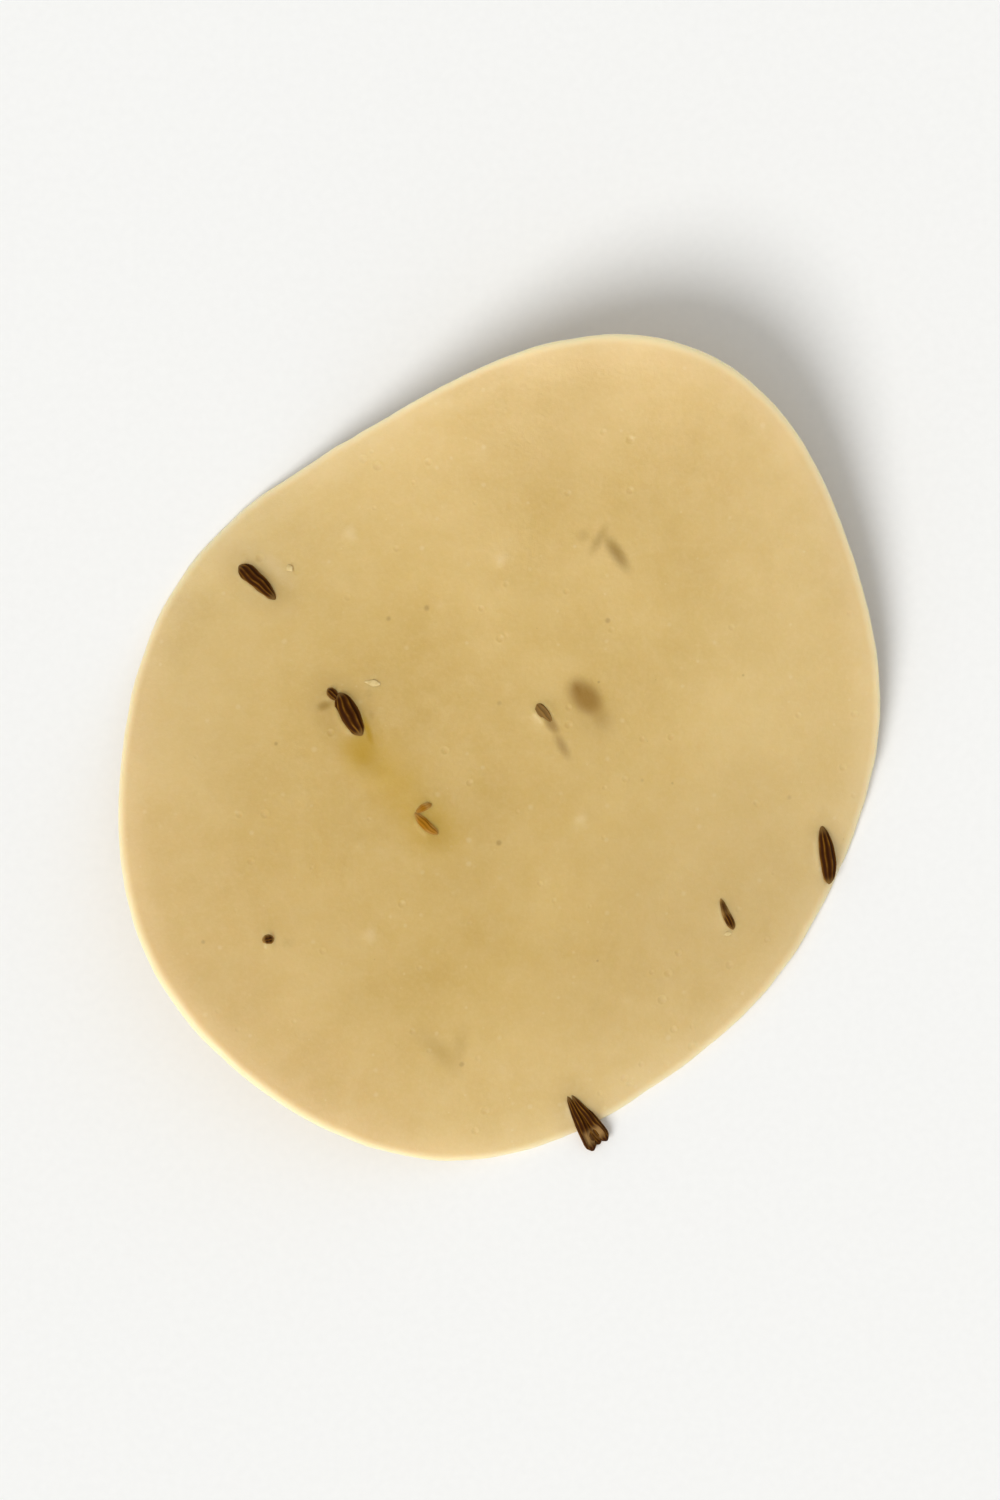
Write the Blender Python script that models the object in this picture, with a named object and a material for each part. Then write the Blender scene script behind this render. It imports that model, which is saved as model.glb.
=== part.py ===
# Cumin rice papadum: one small sun-dried rice wafer with cumin seeds set in its top face, uncooked.
# Blender 4.5, metres, +Z up. The origin is on the surface that the wafer lies on, under its middle.
# Seen from above with +Y at the top, the dried wafer arches over a line from lower left to upper right.
# Its upper left rim has curled down most. It rests on that rim and on its broad lower right rim.

import math

import bmesh
import bpy
from mathutils import Matrix, Vector

MM = 0.001

# Wafer, its outline as seen from above
MEAN_RADIUS = 27.8 * MM
THICKNESS = 0.9 * MM
RIM_ROUNDING = 0.32 * MM
ARCH_LINE = math.radians(54)

# Each outline wave: lobes round the rim, how far they push it out, direction of the first one
OUTLINE_WAVES = (
    (2, 2.6 * MM, ARCH_LINE),
    (3, 0.7 * MM, math.radians(58)),
    (4, 0.6 * MM, math.radians(-20)),
    (5, 0.35 * MM, math.radians(-6)),
    (6, 0.16 * MM, math.radians(18)),
    (7, 0.14 * MM, math.radians(7)),
)

# Warp of the dried wafer
ARCH_DROP = 5.6 * MM            # how far the arch falls at one mean radius from its line
CURL_DROP = 2.2 * MM            # what the upper left rim falls beside that
CURL_START = 0.30               # where that rim starts to curl, as a share of the mean radius
END_LIFT = 1.0 * MM             # how far the two ends of the arch line turn up
# Each rim wave: lobes round the rim, height at the mean radius, direction of the first crest
RIM_WAVES = (
    (3, 1.5 * MM, ARCH_LINE - math.pi / 2),
    (5, 0.45 * MM, math.radians(20)),
    (8, 0.16 * MM, math.radians(100)),
)
GROOVE_DIRECTION = math.radians(77)
GROOVE_HALF_ANGLE = math.radians(9)
GROOVE_DEPTH = 0.45 * MM

# Rim directions of the three places that the wafer stands on, and how deep they are worn flat
FEET = (math.radians(144), math.radians(282), math.radians(342))
FOOT_HALF_ANGLE = math.radians(20)
FOOT_FLAT = 0.12 * MM
STANDING_ROUNDS = 3

# Mesh of the wafer
SEGMENTS = 88
RINGS = 12
RING_CROWDING = 1.35            # above 1 the rings lie closer together towards the rim
MERGE_DISTANCE = 1e-5
RIM_BEVEL_STEPS = 2
SLOPE_STEP = 0.05 * MM          # how far apart two heights are read for a slope

# Linear colours of the two materials
DOUGH_COLOR = (0.60, 0.43, 0.19)
CUMIN_COLOR = (0.10, 0.045, 0.012)

# Seeds: x, y of the middle, direction of the long way, length, width, how far the far end tips up.
# The fourth seed, on the lower rim, has split, so its two halves part towards their outer ends.
SEED_HEIGHT_SHARE = 0.85        # height of a seed as a share of its width
SEED_SUNK_SHARE = 0.38          # how much of its height is sunk in the wafer
SEED_SIDES = 5
SEED_BANDS = 4
FLAT = 0.0
SEEDS = (
    (-17.4 * MM, 12.1 * MM, math.radians(-41), 4.0 * MM, 1.4 * MM, FLAT),
    (-11.3 * MM, 3.1 * MM, math.radians(-57), 4.3 * MM, 1.55 * MM, FLAT),
    (23.0 * MM, -7.4 * MM, math.radians(-80), 4.3 * MM, 1.4 * MM, FLAT),
    (5.4 * MM, -26.5 * MM, math.radians(-64), 4.6 * MM, 1.2 * MM, math.radians(8)),
    (6.0 * MM, -26.2 * MM, math.radians(-53), 4.4 * MM, 1.2 * MM, math.radians(8)),
    (15.8 * MM, -11.5 * MM, math.radians(-66), 2.5 * MM, 1.0 * MM, FLAT),
    (2.7 * MM, 3.0 * MM, math.radians(-51), 1.8 * MM, 1.0 * MM, FLAT),
    (-5.8 * MM, -4.8 * MM, math.radians(-46), 2.1 * MM, 0.9 * MM, FLAT),
    (7.8 * MM, 14.4 * MM, math.radians(-56), 2.4 * MM, 0.9 * MM, FLAT),
    (-17.0 * MM, -13.1 * MM, math.radians(10), 1.0 * MM, 0.9 * MM, FLAT),
)


def clear_scene():
    for item in list(bpy.data.objects):
        bpy.data.objects.remove(item, do_unlink=True)


def make_material(name, color, roughness):
    material = bpy.data.materials.new(name)
    material.use_nodes = True
    shader = material.node_tree.nodes["Principled BSDF"]
    shader.inputs["Base Color"].default_value = (*color, 1.0)
    shader.inputs["Roughness"].default_value = roughness
    shader.inputs["Metallic"].default_value = 0.0
    return material


def wave(angle, terms):
    return sum(height * math.cos(lobes * (angle - first)) for lobes, height, first in terms)


def outline_radius(angle):
    return MEAN_RADIUS + wave(angle, OUTLINE_WAVES)


def smooth_step(value):
    value = min(max(value, 0.0), 1.0)
    return value * value * (3.0 - 2.0 * value)


def warp(x, y):
    # Height of the middle of the wafer's thickness, before the wafer is stood on its feet
    angle = math.atan2(y, x)
    out = math.hypot(x, y) / MEAN_RADIUS
    along = (x * math.cos(ARCH_LINE) + y * math.sin(ARCH_LINE)) / MEAN_RADIUS
    across = (y * math.cos(ARCH_LINE) - x * math.sin(ARCH_LINE)) / MEAN_RADIUS
    height = END_LIFT * along ** 2 - ARCH_DROP * across ** 2
    height -= CURL_DROP * smooth_step((across - CURL_START) / (1.0 - CURL_START))
    height += out ** 3 * wave(angle, RIM_WAVES)
    groove_turn = math.remainder(angle - GROOVE_DIRECTION, 2 * math.pi) / GROOVE_HALF_ANGLE
    height -= GROOVE_DEPTH * smooth_step(out) ** 2 * math.exp(-groove_turn ** 2)
    return height


def surface_normal(x, y):
    rise_x = warp(x + SLOPE_STEP, y) - warp(x - SLOPE_STEP, y)
    rise_y = warp(x, y + SLOPE_STEP) - warp(x, y - SLOPE_STEP)
    return Vector((-rise_x, -rise_y, 2 * SLOPE_STEP)).normalized()


def flat_disc():
    # A disc of radius 1 in rings and segments, closer together towards the rim
    mesh = bmesh.new()
    steps = [1.0 - (1.0 - ring / RINGS) ** RING_CROWDING for ring in range(RINGS + 1)]
    spokes = [mesh.verts.new((step, 0.0, 0.0)) for step in steps]
    edges = [mesh.edges.new(pair) for pair in zip(spokes, spokes[1:])]
    bmesh.ops.spin(
        mesh, geom=spokes + edges, cent=(0, 0, 0), axis=(0, 0, 1),
        angle=2 * math.pi, steps=SEGMENTS, use_merge=True)
    bmesh.ops.remove_doubles(mesh, verts=mesh.verts, dist=MERGE_DISTANCE)
    bmesh.ops.recalc_face_normals(mesh, faces=mesh.faces)
    if next(iter(mesh.faces)).normal.z < 0:
        bmesh.ops.reverse_faces(mesh, faces=mesh.faces)
    bmesh.ops.triangulate(mesh, faces=mesh.faces, quad_method="SHORT_EDGE")
    return mesh


def build_wafer():
    mesh = flat_disc()
    normals = {}
    for vert in mesh.verts:
        angle = math.atan2(vert.co.y, vert.co.x)
        radius = math.hypot(vert.co.x, vert.co.y) * outline_radius(angle)
        x, y = radius * math.cos(angle), radius * math.sin(angle)
        normals[vert] = surface_normal(x, y)
        vert.co = Vector((x, y, warp(x, y)))
    for vert, normal in normals.items():
        vert.co += normal * THICKNESS / 2
    top = list(mesh.faces)
    copied = bmesh.ops.duplicate(mesh, geom=list(mesh.verts) + list(mesh.edges) + top)
    for vert, normal in normals.items():
        copied["vert_map"][vert].co = vert.co - normal * THICKNESS
    under = [item for item in copied["geom"] if isinstance(item, bmesh.types.BMFace)]
    bmesh.ops.reverse_faces(mesh, faces=under)
    rims = [edge for edge in mesh.edges if edge.is_boundary]
    bmesh.ops.bridge_loops(mesh, edges=rims)
    bmesh.ops.bevel(
        mesh, geom=rims, offset=RIM_ROUNDING, affect="EDGES",
        segments=RIM_BEVEL_STEPS, profile=0.5, material=-1)
    bmesh.ops.recalc_face_normals(mesh, faces=mesh.faces)
    return finish_object("papadum", mesh, make_material("dried rice dough", DOUGH_COLOR, 0.55))


def seed_matrix(x, y, heading, tip_up, height):
    up = surface_normal(x, y)
    forward = Vector((math.cos(heading), math.sin(heading), 0.0))
    forward = (forward - up * forward.dot(up)).normalized()
    side = up.cross(forward)
    middle = Vector((x, y, warp(x, y))) + up * (THICKNESS / 2 + height * (0.5 - SEED_SUNK_SHARE))
    turn = Matrix((forward, side, up)).transposed().to_4x4()
    return Matrix.Translation(middle) @ turn @ Matrix.Rotation(-tip_up, 4, "Y")


def build_seed(number, x, y, heading, length, width, tip_up, material):
    height = width * SEED_HEIGHT_SHARE
    mesh = bmesh.new()
    bmesh.ops.create_uvsphere(mesh, u_segments=SEED_SIDES, v_segments=SEED_BANDS, radius=0.5)
    bmesh.ops.rotate(mesh, verts=mesh.verts, matrix=Matrix.Rotation(math.pi / 2, 3, "Y"))
    bmesh.ops.scale(mesh, verts=mesh.verts, vec=(length, width, height))
    bmesh.ops.transform(mesh, verts=mesh.verts, matrix=seed_matrix(x, y, heading, tip_up, height))
    return finish_object(f"seed_{number}", mesh, material)


def finish_object(name, mesh, material):
    data = bpy.data.meshes.new(name)
    mesh.to_mesh(data)
    mesh.free()
    data.materials.append(material)
    data.shade_smooth()
    item = bpy.data.objects.new(name, data)
    bpy.context.scene.collection.objects.link(item)
    return item


def fuse(body, pieces):
    # One Boolean union of all the pieces with the body
    group = bpy.data.collections.new("seeds")
    for piece in pieces:
        group.objects.link(piece)
    union = body.modifiers.new("union", "BOOLEAN")
    union.operation = "UNION"
    union.operand_type = "COLLECTION"
    union.collection = group
    union.solver = "EXACT"
    bpy.context.view_layer.update()
    evaluated = body.evaluated_get(bpy.context.evaluated_depsgraph_get())
    body_data = bpy.data.meshes.new_from_object(evaluated)
    body.modifiers.clear()
    body.data = body_data
    for piece in pieces:
        bpy.data.objects.remove(piece, do_unlink=True)
    bpy.data.collections.remove(group)


def lowest_near(points, angle):
    def is_near(point):
        return abs(math.remainder(math.atan2(point.y, point.x) - angle, 2 * math.pi)) < FOOT_HALF_ANGLE

    return min((point for point in points if is_near(point)), key=lambda point: point.z).copy()


def stand_on_feet(item):
    # Turns the wafer until its three feet are level, then wears each foot flat
    for _ in range(STANDING_ROUNDS):
        points = [vert.co for vert in item.data.vertices]
        first, second, third = (lowest_near(points, angle) for angle in FEET)
        up = (second - first).cross(third - first).normalized()
        item.data.transform(up.rotation_difference(Vector((0, 0, 1))).to_matrix().to_4x4())
    ground = min(vert.co.z for vert in item.data.vertices) + FOOT_FLAT
    for vert in item.data.vertices:
        vert.co.z = max(vert.co.z - ground, 0.0)


def centre_over_origin(item):
    points = [vert.co for vert in item.data.vertices]
    middle_x = (min(point.x for point in points) + max(point.x for point in points)) / 2
    middle_y = (min(point.y for point in points) + max(point.y for point in points)) / 2
    item.data.transform(Matrix.Translation((-middle_x, -middle_y, 0)))


clear_scene()
wafer = build_wafer()
cumin = make_material("cumin seed", CUMIN_COLOR, 0.65)
seeds = [build_seed(number, *place, cumin) for number, place in enumerate(SEEDS)]
fuse(wafer, seeds)
stand_on_feet(wafer)
centre_over_origin(wafer)
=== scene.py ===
# Cumin rice papadum, dressed: one sun-dried rice wafer with the cumin seeds and marks of its top face.
# Blender 4.5, metres, +Z up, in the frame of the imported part. It lies on a plain white sweep.

import itertools
import math
import random
from collections import namedtuple

import bmesh
import bpy
from mathutils import Matrix, Vector, noise


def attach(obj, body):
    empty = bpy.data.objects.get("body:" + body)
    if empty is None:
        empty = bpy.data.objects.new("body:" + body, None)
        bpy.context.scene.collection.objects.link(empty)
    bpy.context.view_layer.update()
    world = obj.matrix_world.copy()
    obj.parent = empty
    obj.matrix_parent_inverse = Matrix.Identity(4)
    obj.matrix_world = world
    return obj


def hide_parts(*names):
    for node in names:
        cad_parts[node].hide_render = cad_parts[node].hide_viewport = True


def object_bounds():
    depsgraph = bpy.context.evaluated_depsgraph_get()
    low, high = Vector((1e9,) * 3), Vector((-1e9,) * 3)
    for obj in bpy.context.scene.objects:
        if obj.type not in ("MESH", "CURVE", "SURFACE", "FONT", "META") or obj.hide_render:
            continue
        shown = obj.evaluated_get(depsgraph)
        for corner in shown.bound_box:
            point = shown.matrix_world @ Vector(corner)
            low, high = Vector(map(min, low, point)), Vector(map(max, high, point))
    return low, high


mm = 0.001

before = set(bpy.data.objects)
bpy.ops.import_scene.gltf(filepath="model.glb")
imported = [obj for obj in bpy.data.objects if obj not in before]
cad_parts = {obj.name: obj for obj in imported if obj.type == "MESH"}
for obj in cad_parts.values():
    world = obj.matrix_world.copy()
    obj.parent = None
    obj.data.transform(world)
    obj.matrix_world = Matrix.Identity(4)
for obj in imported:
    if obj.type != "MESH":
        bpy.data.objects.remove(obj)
cadLow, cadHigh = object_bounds()
print("frame loaded, box", [round(v / mm, 2) for v in cadHigh - cadLow], "mm")


# Small helpers

def smoothStep(value):
    value = min(max(value, 0.0), 1.0)
    return value * value * (3.0 - 2.0 * value)


def turnBetween(angle, other):
    return math.remainder(angle - other, 2 * math.pi)


def alongAndAcross(x, y, spot):
    # A point as seen from a spot's middle: along its heading, and to the left of that
    along = (x - spot.x) * math.cos(spot.heading) + (y - spot.y) * math.sin(spot.heading)
    across = (y - spot.y) * math.cos(spot.heading) - (x - spot.x) * math.sin(spot.heading)
    return along, across


def makePiece(name, mesh, material):
    data = bpy.data.meshes.new(name)
    mesh.to_mesh(data)
    mesh.free()
    data.materials.append(material)
    data.shade_smooth()
    piece = bpy.data.objects.new(name, data)
    bpy.context.scene.collection.objects.link(piece)
    print(name, "made,", sum(len(p.vertices) - 2 for p in data.polygons), "triangles")
    return piece


# The wafer's form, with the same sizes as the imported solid

archLine = math.radians(54)             # seen from above it arches over this line

wafer = {
    "meanRadius": 27.8 * mm,            # seen from above
    "thickness": 0.9 * mm,
    # lobes round the rim, how far they push it out, direction of the first one
    "outlineWaves": (
        (2, 2.6 * mm, archLine),
        (3, 0.7 * mm, math.radians(58)),
        (4, 0.6 * mm, math.radians(-20)),
        (5, 0.35 * mm, math.radians(-6)),
        (6, 0.16 * mm, math.radians(18)),
        (7, 0.14 * mm, math.radians(7)),
    ),
    "archDrop": 5.6 * mm,
    "curlDrop": 2.2 * mm,               # what the upper left rim falls beside the arch
    "curlStart": 0.30,
    "endLift": 1.0 * mm,
    "rimWaves": (
        (3, 1.5 * mm, archLine - math.pi / 2),
        (5, 0.45 * mm, math.radians(20)),
        (8, 0.16 * mm, math.radians(100)),
    ),
    "grooveDirection": math.radians(77),
    "grooveHalfAngle": math.radians(9),
    "grooveDepth": 0.45 * mm,
    "feet": (math.radians(144), math.radians(282), math.radians(342)),
    "footHalfAngle": math.radians(20),
    "footFlat": 0.12 * mm,
    "settleRounds": 3,                  # times that it is turned to stand on its feet
    "slopeStep": 0.05 * mm,
    "rimTaper": 0.16,                   # how much thinner the dough has run out at its rim
    "rimTaperReach": 2.0 * mm,
    "sectorCuts": 107,                  # cuts along each side of the six sectors, 0.26 mm apart
    "rimSteps": 6,                      # bands round the rounded edge
    "flatSide": 0.99,                   # side is 1 on the top face, -1 on the under face, less between
    "underMarks": 0.45,                 # how much of the marks shows through on the under face
}


def wave(angle, terms):
    return sum(height * math.cos(lobes * (angle - first)) for lobes, height, first in terms)


def outlineRadius(angle):
    return wafer["meanRadius"] + wave(angle, wafer["outlineWaves"])


def warp(x, y):
    # Height of the middle of the dried dough, before it stands on its feet
    angle = math.atan2(y, x)
    out = math.hypot(x, y) / wafer["meanRadius"]
    along = (x * math.cos(archLine) + y * math.sin(archLine)) / wafer["meanRadius"]
    across = (y * math.cos(archLine) - x * math.sin(archLine)) / wafer["meanRadius"]
    height = wafer["endLift"] * along ** 2 - wafer["archDrop"] * across ** 2
    curl = (across - wafer["curlStart"]) / (1.0 - wafer["curlStart"])
    height -= wafer["curlDrop"] * smoothStep(curl)
    height += out ** 3 * wave(angle, wafer["rimWaves"])
    grooveTurn = turnBetween(angle, wafer["grooveDirection"]) / wafer["grooveHalfAngle"]
    height -= wafer["grooveDepth"] * smoothStep(out) ** 2 * math.exp(-grooveTurn ** 2)
    return height


def surfaceNormal(x, y):
    step = wafer["slopeStep"]
    riseX = warp(x + step, y) - warp(x - step, y)
    riseY = warp(x, y + step) - warp(x, y - step)
    return Vector((-riseX, -riseY, 2 * step)).normalized()


def onSurface(x, y, height):
    # A point that far over the middle of the dough
    return Vector((x, y, warp(x, y))) + surfaceNormal(x, y) * height


def placeOn(x, y, heading, height, tipUp=0.0):
    # Turns a shape that lies along X so that it lies that far over the middle of the dough
    up = surfaceNormal(x, y)
    forward = Vector((math.cos(heading), math.sin(heading), 0.0))
    forward = (forward - up * forward.dot(up)).normalized()
    turn = Matrix((forward, up.cross(forward), up)).transposed().to_4x4()
    return Matrix.Translation(onSurface(x, y, height)) @ turn @ Matrix.Rotation(-tipUp, 4, "Y")


# Seeds in the top face. Places and sizes are in millimetres and angles in degrees. Sunk is the share
# of the height in the dough, widest is where along its length, bend curves it sideways as a share of
# the length, and the far end is the tip

seedRow = namedtuple("seedRow", "x y heading length width sunk tipUp spin widest bend kind")


def seedFrom(x, y, heading, length, width, sunk, tipUp, spin, widest, bend, kind):
    return seedRow(
        x * mm, y * mm, math.radians(heading), length * mm, width * mm,
        sunk, math.radians(tipUp), math.radians(spin), widest, bend, kind)


seeds = {
    "upperLeft": seedFrom(-17.45, 11.95, -42, 3.95, 1.30, 0.42, 0, 20, 0.32, -0.08, "whole"),
    "cracked": seedFrom(-11.1, 2.8, -61, 3.5, 1.58, 0.42, 0, 65, 0.48, 0.09, "whole"),
    "right": seedFrom(23.0, -7.4, -80, 4.35, 1.36, 0.42, 0, 8, 0.56, -0.06, "whole"),
    # The seed on the lower rim has split: two hollow halves that part towards the blunt tip
    "splitLeft": seedFrom(5.44, -26.54, -64.5, 4.6, 1.04, 0.26, 8, 0, 0.80, -0.04, "leftHalf"),
    "splitRight": seedFrom(6.04, -26.18, -52.5, 4.35, 1.04, 0.26, 8, 0, 0.80, 0.04, "rightHalf"),
    "splitCore": seedFrom(5.74, -26.36, -58.5, 4.3, 1.02, 0.40, 8, 20, 0.84, 0.0, "core"),
    "crackedHead": seedFrom(-12.22, 4.2, -45, 1.2, 0.80, 0.40, 0, 35, 0.45, -0.11, "bit"),
    "sliver": seedFrom(15.8, -11.55, -66, 2.5, 0.74, 0.45, 0, 50, 0.70, 0.11, "bit"),
    "short": seedFrom(2.65, 3.05, -51, 1.8, 1.10, 0.56, 0, 95, 0.40, -0.11, "veiled"),
    "tanStroke": seedFrom(-5.8, -4.9, -43, 2.25, 0.82, 0.46, 0, 10, 0.50, 0.20, "tan"),
    "tanArm": seedFrom(-5.95, -3.75, 30, 1.3, 0.58, 0.44, 0, 10, 0.55, -0.15, "tan"),
    "dot": seedFrom(-17.05, -13.1, 10, 0.88, 0.76, 0.48, 0, 25, 0.50, 0.11, "bit"),
}

seedShape = {
    "heightShare": 0.85,                # height over width
    "sides": 72,
    "bands": 36,
    "taper": 2.2,                       # how suddenly the spindle narrows from its widest place
    "fullness": 0.58,                   # below 1 it stays thick towards its ends
    "bowLevel": 0.1,                    # puts the middle line of a bowed seed back over its place
    "knobLength": 0.045,                # withered flower stub at the stalk end
    "knobWidth": 0.20,
    "ridges": 9,                        # thread-like ribs along the husk
    "ridgeWidth": 0.21,                 # as a share of the way from one rib to the next
    "ridgeDepth": 0.17,
    "ridgeEnd": 0.10,                   # they fade over this share of the length at each end
    "wander": 0.22,                     # how far they wander round the husk, in radians
    "wanderPitch": 3.5,                 # steps of the noise along a seed
    "wanderStep": 5.0,                  # from one seed's place in the noise to the next one's
    "lumps": 0.10,                      # unevenness of the whole husk, as a share of its girth
    "lumpPitch": 2.6,
    "lumpStep": 3.0,
    "hollowTilt": math.radians(74),     # how far the hollow of a split half looks up
    "hollowDepth": 0.80,
    "hollowBrim": 0.58,                 # cosine of the turn from the hollow's middle to its brim
    "hollowBrimBlend": 0.28,
    "hollowStart": 0.60,                # the hollow and its paler flesh lie between these shares
    "hollowStartBlend": 0.16,
    "hollowEnd": 0.92,
    "hollowEndBlend": 0.10,
    "coreHeightShare": 0.52,            # the core that joins the two halves is low
    "filmReach": 0.30 * mm,             # how far dough has crept up the husk
    "filmRagged": 0.5,
    "endFilm": 0.42,                    # and how much of it covers the ends
    "endFilmReach": 0.16,
    "endFilmRagged": 0.3,
    "veil": 0.42,                       # and all of a veiled bit
}

# Which way the hollow of a split half looks, from its left over its top
hollowSides = {"leftHalf": seedShape["hollowTilt"], "rightHalf": math.pi - seedShape["hollowTilt"]}


def seedGirth(share, widest):
    # Half width from the stalk end, 0, to the tip, 1, as a share of the largest
    side = widest if share < widest else 1.0 - widest
    body = max(1.0 - abs((share - widest) / side) ** seedShape["taper"], 0.0) ** seedShape["fullness"]
    knobHalf = seedShape["knobLength"] / 2
    knob = max(1.0 - ((share - knobHalf) / knobHalf) ** 2, 0.0) ** 0.5 * seedShape["knobWidth"]
    return max(body, knob)


def seedBow(share, seed):
    # How far the middle line of a curved seed is to its left
    return seed.bend * ((share - 0.5) ** 2 - seedShape["bowLevel"]) * seed.length


def seedHeights(seed):
    # How high a seed is, and how far its middle lies over the wafer's face
    height = seed.width * seedShape["heightShare"]
    return height, height * (0.5 - seed.sunk)


def ribThere(share, angle, seed, waver):
    # 1 on the crest of a rib, and 0 in the valleys and at both ends
    turned = angle + seed.spin + seedShape["wander"] * waver
    rib = turned / (2 * math.pi) * seedShape["ridges"]
    thread = math.exp(-((rib - round(rib)) / seedShape["ridgeWidth"]) ** 2)
    return thread * smoothStep(min(share, 1.0 - share) / seedShape["ridgeEnd"])


def hollowThere(share, angle, hollowSide):
    # 1 deep in the hollow of a split half, and 0 outside it
    brim = (math.cos(angle - hollowSide) - seedShape["hollowBrim"]) / seedShape["hollowBrimBlend"]
    start = (share - seedShape["hollowStart"]) / seedShape["hollowStartBlend"]
    end = (seedShape["hollowEnd"] - share) / seedShape["hollowEndBlend"]
    return smoothStep(brim) * smoothStep(start) * smoothStep(end)


def filmThere(share, over, kind, waver):
    # How much dough covers the husk, by the height over the wafer's face and by the way to the ends
    film = 1.0 - smoothStep(over / seedShape["filmReach"] + seedShape["filmRagged"] * waver)
    fromEnd = min(share, 1.0 - share) if kind in ("whole", "bit", "tan") else share
    ragged = seedShape["endFilmRagged"] * waver
    endFilm = seedShape["endFilm"] * (1.0 - smoothStep(fromEnd / seedShape["endFilmReach"] + ragged))
    return max(film, endFilm, seedShape["veil"] if kind == "veiled" else 0.0)


def shapeSeed(verts, layers, seed, number):
    # Turns a ball, whose poles lie along X, into a ribbed spindle
    ribLayer, toneLayer = layers
    height, over = seedHeights(seed)
    hollowSide = hollowSides.get(seed.kind)
    waverStart = number * seedShape["wanderStep"]
    lumpStart = number * seedShape["lumpStep"]
    for vert in verts:
        share = min(max(vert.co.x + 0.5, 0.0), 1.0)
        angle = math.atan2(vert.co.z, vert.co.y)
        waver = noise.noise(Vector((share * seedShape["wanderPitch"], waverStart, 0.0)))
        lump = noise.noise(Vector((
            share * seedShape["lumpPitch"], math.cos(angle), math.sin(angle) + lumpStart)))
        rib = ribThere(share, angle, seed, waver)
        swell = 1.0 - seedShape["ridgeDepth"] * (1.0 - rib) + seedShape["lumps"] * lump
        girth = seedGirth(share, seed.widest) * 0.5 * swell
        y = girth * seed.width * math.cos(angle)
        z = girth * height * math.sin(angle)
        if seed.kind == "core":
            z *= seedShape["coreHeightShare"]
        flesh = 0.0
        if hollowSide is not None:
            flesh = hollowThere(share, angle, hollowSide)
            sink = seedShape["hollowDepth"] * flesh * girth
            y -= sink * seed.width * math.cos(hollowSide)
            z -= sink * height * math.sin(hollowSide)
        y += seedBow(share, seed)
        film = filmThere(share, z + over, seed.kind, waver)
        vert[ribLayer] = rib
        vert[toneLayer] = Vector((film, flesh, 1.0 if seed.kind == "tan" else 0.0))
        vert.co = Vector((vert.co.x * seed.length, y, z))


def buildSeeds(name, kinds, material):
    mesh = bmesh.new()
    ribLayer = mesh.verts.layers.float.new("rib")
    toneLayer = mesh.verts.layers.float_vector.new("seedTone")
    for number, seed in enumerate(seeds.values()):
        if seed.kind not in kinds:
            continue
        made = bmesh.ops.create_uvsphere(
            mesh, u_segments=seedShape["sides"], v_segments=seedShape["bands"], radius=0.5)["verts"]
        bmesh.ops.rotate(mesh, verts=made, matrix=Matrix.Rotation(math.pi / 2, 3, "Y"))
        shapeSeed(made, (ribLayer, toneLayer), seed, number)
        over = wafer["thickness"] / 2 + seedHeights(seed)[1]
        place = placeOn(seed.x, seed.y, seed.heading, over, seed.tipUp)
        bmesh.ops.transform(mesh, verts=made, matrix=place)
    bmesh.ops.recalc_face_normals(mesh, faces=mesh.faces)
    return makePiece(name, mesh, material)


def seedDistance(x, y, seed):
    # Distance outside a seed's outline as seen from above, and the share of its length there
    along, across = alongAndAcross(x, y, seed)
    share = min(max(0.5 + along / seed.length, 0.0), 1.0)
    girth = seedGirth(share, seed.widest)
    beyond = max(abs(along) - seed.length / 2, 0.0)
    beside = max(abs(across - seedBow(share, seed)) - girth * seed.width / 2, 0.0)
    return math.hypot(beyond, beside), share


# Flakes of dried dough that stick up beside some seeds: x, y, heading, length, width

flakeRow = namedtuple("flakeRow", "x y heading length width")


def flakeFrom(x, y, heading, length, width):
    return flakeRow(x * mm, y * mm, math.radians(heading), length * mm, width * mm)


flakes = {
    "rows": (
        flakeFrom(-9.45, 5.05, -10, 1.05, 0.56),
        flakeFrom(-15.2, 13.0, -50, 0.65, 0.50),
        flakeFrom(15.95, -12.95, 10, 0.60, 0.44),
        flakeFrom(-12.75, 3.85, -40, 0.45, 0.34),
    ),
    "heightShare": 0.22,
    "lift": 0.02 * mm,
    "fineness": 3,
    "ragged": 0.6,                      # how far their outlines go in and out
    "raggedPitch": 2.0,
    "noiseStart": 1.5,                  # the first flake's place in the noise, and the step to the next
    "noiseStep": 4.0,
    "taper": 1.3,                       # how much they narrow towards both ends
}


def buildFlakes(material):
    mesh = bmesh.new()
    for number, flake in enumerate(flakes["rows"]):
        made = bmesh.ops.create_icosphere(mesh, subdivisions=flakes["fineness"], radius=0.5)["verts"]
        start = Vector((number * flakes["noiseStep"] + flakes["noiseStart"], 0, 0))
        for vert in made:
            vert.co *= 1.0 + flakes["ragged"] * noise.noise(vert.co * flakes["raggedPitch"] + start)
            vert.co.y *= 1.0 - flakes["taper"] * abs(vert.co.x)
        bmesh.ops.scale(
            mesh, verts=made, vec=(flake.length, flake.width, flake.width * flakes["heightShare"]))
        over = wafer["thickness"] / 2 + flakes["lift"]
        bmesh.ops.transform(mesh, verts=made, matrix=placeOn(flake.x, flake.y, flake.heading, over))
    return makePiece("doughFlakes", mesh, material)


# Fine relief of the top and under faces

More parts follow.
